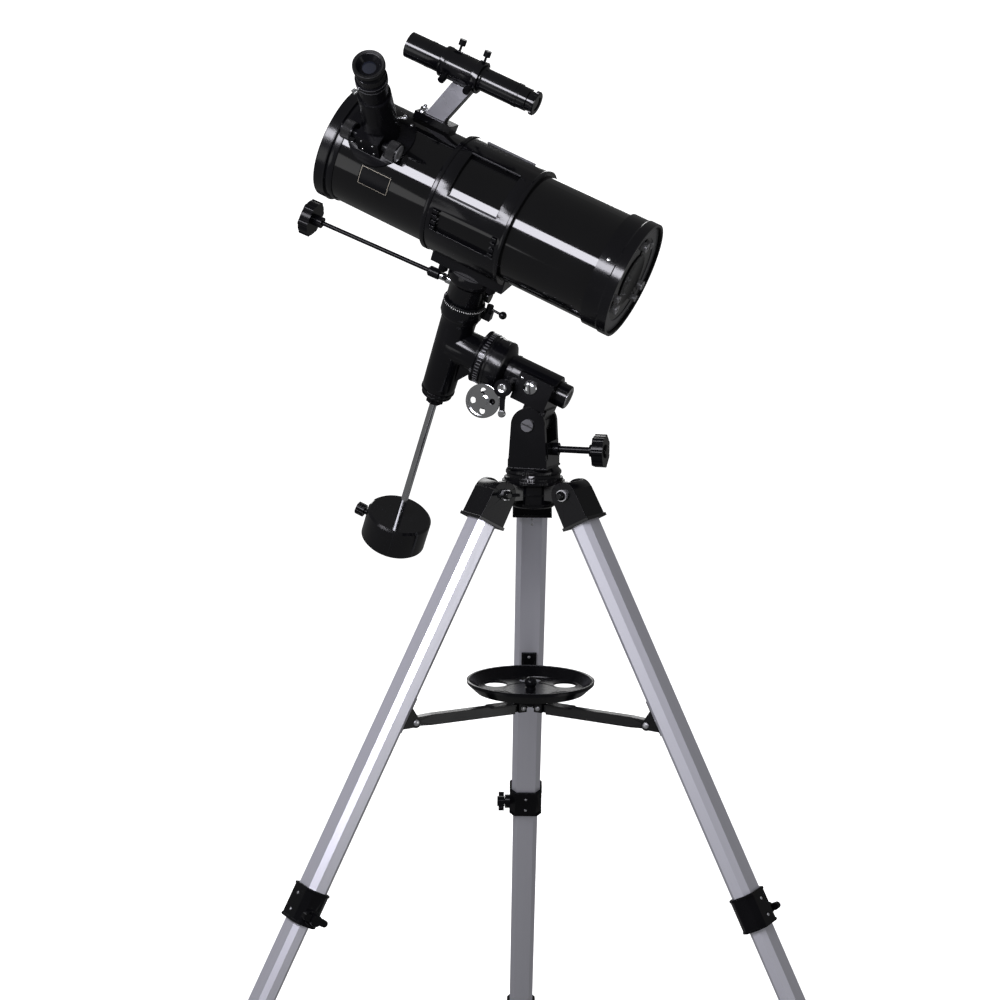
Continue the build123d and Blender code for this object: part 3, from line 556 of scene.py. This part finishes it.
def finder_details():
    """The finder's lenses and bands, and the stalk and nut that hold it."""
    lens = bmesh.new()
    lathe(lens, FINDER, [(0, 167), (14.9, 167), (14.9, 169), (10, 171), (5, 172), (0, 172.4)], 48)
    eye = placed(FINDER, (0, 0, 0), (0, 0, -1))
    lathe(lens, eye, [(0, 1), (8.9, 1), (8.9, 2.4), (5, 3.6), (0, 4)], 48)
    piece(lens, "finder_lenses", "lens_glass", "optical_tube")
    bands = bmesh.new()
    for low, high in ((146, 147.2), (142.5, 143.7)):
        lathe(bands, FINDER, [(16.2, low), (16.8, low), (16.8, high), (16.2, high)], 64)
    prism(bands, FINDER, knurl(15.4, 0.6, 56), -4.8, -1.2)
    for low, high in ((19, 20.6), (22.4, 24)):
        lathe(bands, FINDER, [(14.4, low), (15.2, low), (15.2, high), (14.4, high)], 64)
    piece(bands, "finder_bands", "finder_black", "optical_tube")

    stalk = bmesh.new()
    slab = placed(FINDER, (-FINDER_OFFSET, 0, 0), (0, 1, 0), (0, 0, 1))
    outline = [(97.8, 79.2), (124.2, 79.2), (105.2, 129.0), (77.2, 129.0)]
    prism(stalk, slab, outline, -6.3, 6.3)
    piece(stalk, "finder_stalk", "finder_grey", "optical_tube", 0.6)
    nut = bmesh.new()
    top = placed(FINDER, (79 - FINDER_OFFSET, 0, 129.5), (1, 0, 0), (0, 1, 0))
    lathe(nut, top, [(0, 0), (6.2, 0), (6.2, 1.2), (0, 1.2)], 32)
    prism(nut, top, circle(5, 6), 1.2, 5.4)
    lathe(nut, top, [(0, 5), (2.4, 5), (2.4, 8.4), (1.8, 9), (0, 9)], 24)
    piece(nut, "finder_foot_nut", "chrome", "optical_tube", 0.25)


def cradle_details():
    """The cradle's edges, ribs, window lips and bolts."""
    edges = bmesh.new()
    for low, high in ((-51, -46), (54, 60)):
        lathe(edges, TUBE, [(75, low), (76.7, low), (77.1, low + 0.7), (77.1, high - 0.7),
                            (76.7, high), (75, high)], 128)
    piece(edges, "cradle_edges", "textured_gloss", "dec_axis")
    ribs = bmesh.new()
    for angle in (-93, 93):
        side = around(TUBE, TUBE_RADIUS, 0, angle)
        for start in (-41.6, 40.6):
            for across in (-14, -6.5, 1.5, 9):
                bar(ribs, side, (start, across, 0.3), (start + 7, across + 5, 5.4))
    piece(ribs, "cradle_ribs", "black_casting", "dec_axis", 0.5)
    lips = bmesh.new()
    window_half, lip = 32, 0.7
    for angle in (-41, 41):
        for across in (-window_half, window_half - lip):
            bar(lips, around(TUBE, TUBE_RADIUS, 0, angle),
                (-30, across, -2.4), (38, across + lip, 0.4))
    piece(lips, "cradle_window_lips", "dark_steel", "dec_axis")
    bolts = bmesh.new()
    for x in (-34.5, 34.5):
        for y in (-17, 17):
            foot = placed(DEC, (x, y, 110), (0, 0, -1))
            prism(bolts, foot, knurl(6.2, 0.5, 18), 0.2, 8)
            lathe(bolts, foot, [(0, 7), (4, 7), (4, 10), (3, 11), (0, 11)], 24)
    piece(bolts, "cradle_bolts", "black_plastic", "dec_axis", 0.3)


# Mount

def declination_details():
    """The declination dial's marks, its clamp, the slow-motion handle's ends and the rings."""
    ticks("dec_dial_marks", DEC, 27.5, 61.4, 63.0, 60, "dec_body", "dial_white", 1.0)
    knob = bmesh.new()
    side = placed(DEC, (22, 10, 88.5), (1, 0, 0.12), (0, 1, 0))
    lathe(knob, side, [(0, 0), (1.5, 0), (1.5, 7), (0, 7)], 20)
    piece(knob, "dec_clamp_stem", "chrome", "dec_axis")
    grip = bmesh.new()
    prism(grip, side, knurl(4.4, 0.5, 14), 6.5, 12)
    piece(grip, "dec_clamp_grip", "black_plastic", "dec_axis", 0.3)
    worm = placed(DEC, (0, -14, 76), (1, 0, -0.034), (0, 1, 0))
    sleeve = bmesh.new()
    lathe(sleeve, worm, [(4, 28.2), (6.4, 28.2), (6.4, 36), (5.4, 37), (5.4, 44.6), (4, 44.6)], 40)
    piece(sleeve, "dec_worm_sleeve", "chrome", "dec_handle")
    hub = bmesh.new()
    lathe(hub, worm, [(0, 246), (8, 246), (8, 247.5), (6.5, 249), (0, 249)], 40)
    piece(hub, "dec_handle_cap", "black_plastic", "dec_handle", 0.4)
    rings = bmesh.new()
    for low, high, radius in ((-76, -73, 22.6), (-82.8, -80, 20.5), (40, 42.2, 25.3)):
        lathe(rings, DEC, [(18, low), (radius, low), (radius, high), (18, high)], 96)
    piece(rings, "dec_housing_rings", "black_casting", "dec_body", 0.4)


def polar_details():
    """The polar dial's marks and grip, the housing's screws and rings, the wheel and the lock."""
    ticks("ra_dial_marks", POLAR, 35.1, 88.6, 94.2, 48, "dec_body", "dark_steel", 1.5)
    grip = bmesh.new()
    prism(grip, POLAR, knurl(35.5, 0.7, 72), 97.3, 100.2)
    piece(grip, "ra_dial_grip", "black_plastic", "dec_body")
    cheek = 33
    for name, out in (("latitude_pivot_screw", -1), ("latitude_pivot_screw_far", 1)):
        slotted_head(name, placed(POLAR, (-3, cheek * out, 16), (0, out, 0), (1, 0, 0.5)),
                     9.4, 4.6, "polar_housing")
    small = bmesh.new()
    for out in (-1, 1):
        pan_head(small, placed(POLAR, (4, cheek * out, 31), (0, out, 0)), 2.1, 1.4)
    piece(small, "ra_housing_screws", "chrome", "polar_housing")
    seams = bmesh.new()
    for low, high, radius in ((66, 68, 34.5), (81.5, 83.5, 34.5), (50, 53, 22.8)):
        lathe(seams, POLAR, [(20, low), (radius, low), (radius, high), (20, high)], 96)
    piece(seams, "ra_housing_rings", "black_casting", "polar_housing", 0.3)
    end = bmesh.new()
    lathe(end, placed(POLAR, (0, 0, -28.2), (0, 0, -1)),
          [(10, 0), (14.4, 0), (14.4, 0.4), (13.4, 0.9), (11, 0.9), (10, 0.4)], 64)
    piece(end, "polar_cap_ring", "zinc_steel", "polar_housing")
    rim = bmesh.new()
    worm = placed(POLAR, (-44, 0, 65), (0, -1, 0))
    hoop(rim, worm, knurl(22.4, 0.5, 60), circle(19.2, 240), 36.8, 43.2)
    piece(rim, "ra_wheel_rim", "chrome", "ra_wheel")
    lock = bmesh.new()
    boss = placed(POLAR, (-15.4, 0, 45), (0, -1, 0), (-1, 0, -0.38))
    lathe(lock, boss, [(0, 54), (6, 54), (6, 55.2), (4.8, 55.8), (3, 55.2), (0, 55.2)], 40)
    lathe(lock, placed(boss, (33, 0, 49.3)),
          [(0, -2.6), (4.4, -2.6), (5, -1), (5, 2), (4, 3.2), (0, 3.4)], 32)
    piece(lock, "ra_lock_boss", "chrome", "ra_lock", 0.2)


def fork_details():
    """The fork's grip, lips and ribs, a dark bar of painted shade in its bolt's slot, the latitude
    screw's ends, the hub rings.
    """
    grips = bmesh.new()
    prism(grips, AZIMUTH, knurl(36.4, 0.6, 90), 23.0, 25.8)
    piece(grips, "azimuth_grip", "black_casting", "fork")
    lips = bmesh.new()
    bar(lips, AZIMUTH, (-27, -33.4, 29.4), (27, 33.4, 32.2))
    for x in (-12, 0, 12):
        bar(lips, AZIMUTH, (x - 1.5, -23.9, 42), (x + 1.5, -20, 62))
        bar(lips, AZIMUTH, (x - 1.5, 20, 42), (x + 1.5, 23.9, 62))
    piece(lips, "fork_lips", "black_casting", "fork", 0.5)
    # A dark bar that fills the bolt's slot almost flush: painted shade in the slot.
    slot = bmesh.new()
    head = placed(AZIMUTH, (0, 36, ALTITUDE_HEIGHT), (0, 1, 0), (0.9, 0, 0.4))
    bar(slot, head, (-7.6, -0.85, -1.1), (7.6, 0.85, 0.05))
    piece(slot, "latitude_bolt_slot_shade", "slot_shadow", "fork")
    nut = bmesh.new()
    screw = placed(AZIMUTH, (0, 0, 54.5), (-1, 0, 0), (0, 1, 0))
    prism(nut, screw, circle(8.2, 6), 26.5, 33)
    piece(nut, "latitude_screw_nut", "zinc_steel", "latitude_screw", 0.3)
    cap = bmesh.new()
    lathe(cap, screw, [(0, 96), (9, 96), (9, 97), (7.5, 98.4), (0, 98.6)], 40)
    piece(cap, "latitude_screw_cap", "black_plastic", "latitude_screw", 0.3)
    rings = bmesh.new()
    for low, high, radius in ((10.4, 13.6, 40.8), (14.4, 17.6, 38.3), (-6, -3.6, 28.9),
                              (-18.6, -16.2, 28.9)):
        prism(rings, HUB, knurl(radius, 0.5, 120), low, high)
    piece(rings, "tripod_hub_rings", "black_casting", "tripod_head")


# Tripod

def leg_bolt_end(side, azimuth):
    """The end of the hinge bolt, which has a wing on the left leg."""
    bolt_end = 30.0
    facing = 1 if side == "right" else -1
    end = placed(hinge_frame(azimuth), (0, 0, bolt_end * facing), (0, 0, facing))
    wing = bmesh.new()
    lathe(wing, end, [(0, -1), (6, -1), (6, 2), (4.6, 6), (3.6, 7), (0, 7)], 32)
    if side == "left":
        for out in (-1, 1):
            outline = [(0, -2.0), (out * 9, -3.0), (out * 14, -4.2), (out * 16.5, -1),
                       (out * 15, 3.6), (out * 9, 3.2), (0, 2.0)]
            prism(wing, placed(end, (0, 0, 4.5), (0, 1, 0), (1, 0, 0)),
                  outline if out > 0 else outline[::-1], -1.7, 1.7)
    piece(wing, f"leg_bolt_wing_{side}", "black_painted_steel", "tripod_head",
          0.5)


def spreader_station():
    """Where the arm's outer pivot is along the leg, in mm."""
    splay_x, splay_z = turn(LEG_SPLAY)
    return (SPREADER_INNER + SPREADER_ARM - HINGE_RADIUS) * splay_z + SPREADER_DROP * splay_x


def leg_details(side, azimuth):
    """The lips of a leg's top bracket, its rivets, and the bands of its clamp."""
    leg = leg_frame(azimuth)
    trim = bmesh.new()
    for x in (-20.2, 18.4):
        bar(trim, leg, (x, -26, 38.2), (x + 1.8, 26, 42.6))
    for out in (-1, 1):
        bar(trim, leg, (-20.2, out * 25.3 - 0.9, 38.2), (20.2, out * 25.3 + 0.9, 42.6))
    piece(trim, f"leg_bracket_lip_{side}", "black_casting", f"leg_{side}", 0.6)

    rivets = bmesh.new()
    for out in (-1, 1):
        for z in (565, 587):
            pan_head(rivets, placed(leg, (out * 17.3, 0, z), (out, 0, 0), (0, 1, 0)), 2.0, 1.2)
    for z in (49, 58):
        pan_head(rivets, placed(leg, (-14.05, 0, z), (-1, 0, 0), (0, 1, 0)), 2.0, 1.2)
    pan_head(rivets, placed(leg, (-17.05, 0, spreader_station() - 22), (-1, 0, 0), (0, 1, 0)),
             2.0, 1.2)
    piece(rivets, f"leg_rivets_{side}", "zinc_steel", f"leg_{side}")

    bands = bmesh.new()
    outer = [(17.6, 17.2), (10.9, 23.8), (-10.9, 23.8), (-17.6, 17.2),
             (-17.6, -17.2), (-10.9, -23.8), (10.9, -23.8), (17.6, -17.2)]
    inner = [(15.0, 14.0), (9.4, 21.4), (-9.4, 21.4), (-15.0, 14.0),
             (-15.0, -14.0), (-9.4, -21.4), (9.4, -21.4), (15.0, -14.0)]
    for low, high in ((553.5, 556.5), (595.5, 598.5)):
        hoop(bands, leg, outer, inner, low, high)
    piece(bands, f"leg_clamp_bands_{side}", "black_plastic", f"leg_{side}", 0.5)


def spreader_details():
    """The heads of the arms' pins, at their inner and outer ends."""
    for side, azimuth in LEG_AZIMUTHS.items():
        pivot = placed(hinge_frame(azimuth), (SPREADER_INNER - HINGE_RADIUS, -SPREADER_DROP, 0))
        inner = bmesh.new()
        outer = bmesh.new()
        for out in (-1, 1):
            pan_head(inner, placed(pivot, (0, 0, out * 7.4), (0, 0, out)), 3.6, 2.0)
            pan_head(outer, placed(pivot, (SPREADER_ARM, 0, out * 10.3), (0, 0, out)), 4.2, 2.2)
        piece(inner, f"spreader_pin_heads_{side}", "zinc_steel", "spreader")
        piece(outer, f"spreader_ear_heads_{side}", "zinc_steel", f"leg_{side}")


def tray_details():
    """The tray's rolled rim and pressed rings, and its knob's flutes."""
    rim = bmesh.new()
    lathe(rim, HUB, [(80.6, -254.4), (84, -254.4), (84.3, -253.6), (83.4, -252.9), (81.2, -252.9),
                     (80.3, -253.6)], 128)
    for radius in (69.3, 35.2):
        lathe(rim, HUB, [(radius - 0.8, -266.1), (radius + 0.8, -266.1), (radius + 0.5, -265.3),
                         (radius - 0.5, -265.3)], 96)
    piece(rim, "tray_rolled_rim", "black_painted_steel", "spreader")
    flutes = bmesh.new()
    prism(flutes, HUB, knurl(8.3, 0.8, 12), -259.2, -255.8)
    piece(flutes, "tray_knob_flutes", "black_plastic", "tray_knob", 0.4)


label_plate()
front_ring_details()
mirror_cell_details()
focuser_details()
eyepiece_details()
finder_details()
cradle_details()
declination_details()
polar_details()
fork_details()
for leg_side, leg_azimuth in LEG_AZIMUTHS.items():
    leg_bolt_end(leg_side, leg_azimuth)
    leg_details(leg_side, leg_azimuth)
spreader_details()
tray_details()


# Studio

def stage_piece(mesh, name, radiance):
    """A white surface that lights nothing and isn't seen in reflections, so it stays plain."""
    thing = in_scene(mesh, name)
    paper = finish(f"{name}_paper", (0.86, 0.86, 0.87), roughness=0.9, uneven=0.05, grain=3.0,
                   bump=0.0, mottle=0.01, specular=0.0)
    shader = paper.node_tree.nodes["Principled BSDF"]
    shader.inputs["Emission Color"].default_value = (1.0, 1.0, 1.0, 1.0)
    shader.inputs["Emission Strength"].default_value = radiance
    thing.data.materials.append(paper)
    thing.visible_glossy = False
    thing.visible_diffuse = False
    thing.visible_shadow = False


def studio_backdrop():
    """A round floor, and a dome whose foot is a little below it."""
    floor_radius, floor_depth = 30000, 20
    dome_inner, dome_outer, sunk = 29000, 29500, 10
    floor = bmesh.new()
    prism(floor, Matrix.Identity(4), circle(floor_radius, 64), -floor_depth, 0)
    stage_piece(floor, "studio_floor", 1.05)

    def arc(radius, angles):
        return [(radius * cos(radians(a)), radius * sin(radians(a)) - sunk) for a in angles]

    dome = bmesh.new()
    outline = [*arc(dome_inner, range(0, 90, 6)), (0, dome_inner - sunk),
               (0, dome_outer - sunk), *arc(dome_outer, range(84, -6, -6))]
    lathe(dome, Matrix.Identity(4), outline, 64)
    stage_piece(dome, "studio_dome", 1.2)


def soft_light(name, place, target, size, radiance, colour=(1, 1, 1), long_side=(1, 0, 0)):
    """A rectangular soft light facing a point, its long side turned towards a direction."""
    data = bpy.data.lights.new(name, "AREA")
    data.shape = "RECTANGLE"
    data.size, data.size_y = size
    data.energy = radiance * pi * size[0] * size[1]
    data.color = colour
    light = bpy.data.objects.new(name, data)
    back = (Vector(place) - Vector(target)).normalized()
    side = Vector(long_side)
    side = (side - back * side.dot(back)).normalized()
    matrix = Matrix((side, back.cross(side), back)).transposed().to_4x4()
    matrix.translation = Vector(place)
    light.matrix_world = matrix
    light.visible_camera = False
    bpy.context.scene.collection.objects.link(light)


def studio_lights():
    """A strip that lies along the tube in its gloss, two low fills and one light from behind."""
    tube_middle = TUBE.translation
    along = TUBE.to_3x3() @ Vector((0, 0, 1))
    strip_side, strip_distance = Vector((-0.482, -0.842, 0.243)), 1.5
    strip = tube_middle + strip_side * strip_distance
    soft_light("tube_strip", strip, tube_middle, (1.5, 0.4), 15.5, (0.93, 0.92, 1.0), along)
    soft_light("left_low", (-2.8, -1.7, 0.35), (0, 0, 0.5), (1.5, 1.3), 0.8)
    soft_light("right_low", (2.8, -1.7, 0.35), (0, 0, 0.5), (1.5, 1.3), 1.6)
    soft_light("back_soft", (-0.5, 3.2, 2.3), (0, 0, 0.9), (2.2, 1.4), 3.0)


def studio_world():
    """A weak even white light from everywhere."""
    world = bpy.data.worlds.new("studio")
    bpy.context.scene.world = world
    world.use_nodes = True
    tree = world.node_tree
    sky = tree.nodes["Background"]
    sky.inputs["Color"].default_value = (1.0, 1.0, 1.0, 1.0)
    sky.inputs["Strength"].default_value = 0.13


def studio_camera():
    """The camera, fitted to the photograph's view of the object."""
    place = Vector((-0.0432, -2.9386, 1.3537))
    data = bpy.data.cameras.new("photo_camera")
    data.lens = 78.39
    data.sensor_width = 36.0
    data.clip_start, data.clip_end = 0.05, 100.0
    camera = bpy.data.objects.new("photo_camera", data)
    right = Vector((0.99993, 0.00180, 0.01186))
    up = Vector((-0.01200, 0.15013, 0.98859))
    matrix = Matrix((right, up, right.cross(up))).transposed().to_4x4()
    matrix.translation = place
    camera.matrix_world = matrix
    bpy.context.scene.collection.objects.link(camera)
    bpy.context.scene.camera = camera


studio_backdrop()
studio_lights()
studio_world()
studio_camera()
bpy.context.scene.view_settings.view_transform = "Standard"
